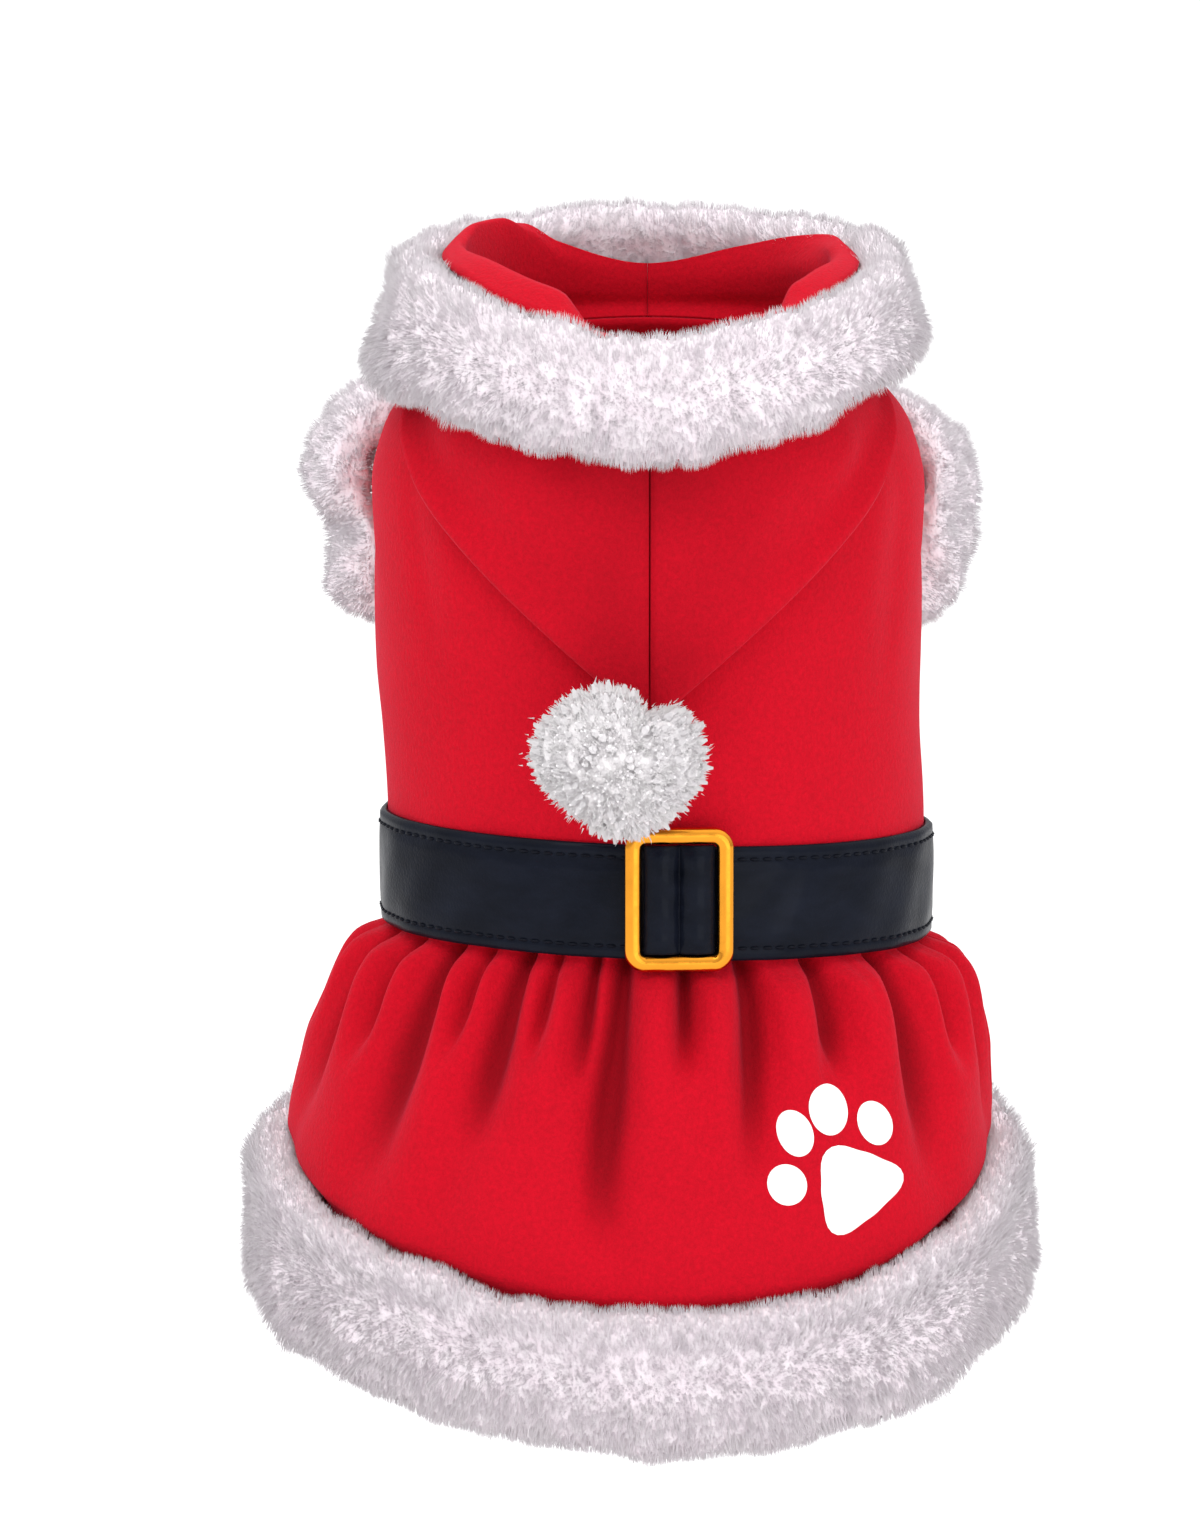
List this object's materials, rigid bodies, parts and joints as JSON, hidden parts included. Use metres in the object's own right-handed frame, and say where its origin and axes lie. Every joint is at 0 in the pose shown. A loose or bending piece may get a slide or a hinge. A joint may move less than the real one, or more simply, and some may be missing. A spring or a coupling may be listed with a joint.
{
  "type": "hooded dog dress costume",
  "caption": "Hooded dog dress with a dropped pointed hood and pompom, plush collar, cuffs and hem, a broad belt with a frame buckle, and a gathered skirt, filled out as if worn",
  "frame": {"origin": "middle of the neck opening, at the height of the neck seam, where the wearer's neck would be", "axes": "+Z runs from the skirt to the neck, -Y is the wearer's back, +X is the wearer's right side"},
  "size_m": [0.1971, 0.2083, 0.2949],
  "materials": {
    "fleece": "red polyester fleece with a short soft nap",
    "plush": "white long-pile plush",
    "yarn": "cut white yarn",
    "leatherette": "smooth black coated fabric, slightly glossy, with a stitched line along both edges",
    "gold_plastic": "gold-plated plastic, polished"
  },
  "bodies": {
    "root": {"back_panel": "fleece", "belly_panel": "fleece", "skirt_back": "fleece", "skirt_belly": "fleece", "sleeve_left": "fleece", "sleeve_right": "fleece", "hood_left": "fleece", "hood_right": "fleece", "hood_plush": "plush", "cuff_left": "plush", "cuff_right": "plush", "hem_plush_back": "plush", "hem_plush_belly": "plush", "pompom": "yarn", "belt": "leatherette", "buckle_keeper": "leatherette", "buckle_frame": "gold_plastic"}
  },
  "joints": []
}
